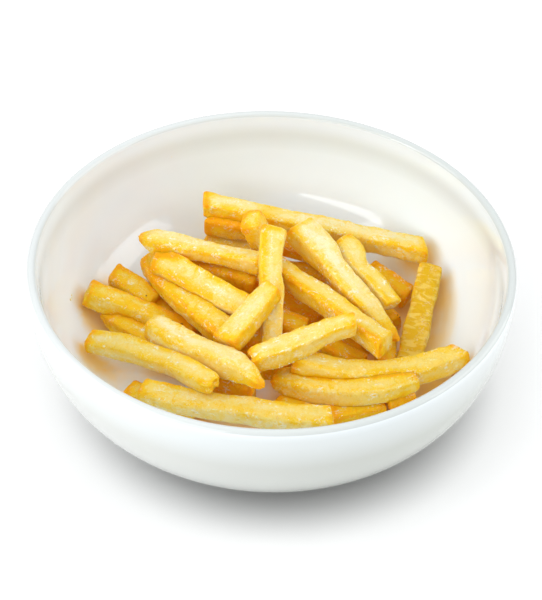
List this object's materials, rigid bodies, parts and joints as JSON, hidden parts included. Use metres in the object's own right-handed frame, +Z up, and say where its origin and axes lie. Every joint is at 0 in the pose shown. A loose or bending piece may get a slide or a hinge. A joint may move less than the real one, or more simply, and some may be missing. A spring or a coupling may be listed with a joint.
{
  "type": "french fries portion in a bowl",
  "caption": "Loose heap of golden potato fries lying low in a wide, deep, round white glazed bowl with a rounded rim and a low foot ring.",
  "frame": {"origin": "under the middle of the bowl, on the plane of its foot ring", "axes": "+Z up, along the bowl's axis; +Y away from the side that the portion is seen from; +X to the right"},
  "size_m": [0.2002, 0.2002, 0.064],
  "materials": {
    "bowl_glaze": "smooth white glaze, high gloss",
    "fried_potato": "fried potato, thin crisp skin with a slight sheen of oil and fine salt"
  },
  "bodies": {
    "root": {"bowl": "bowl_glaze", "fries": "fried_potato"}
  },
  "joints": []
}
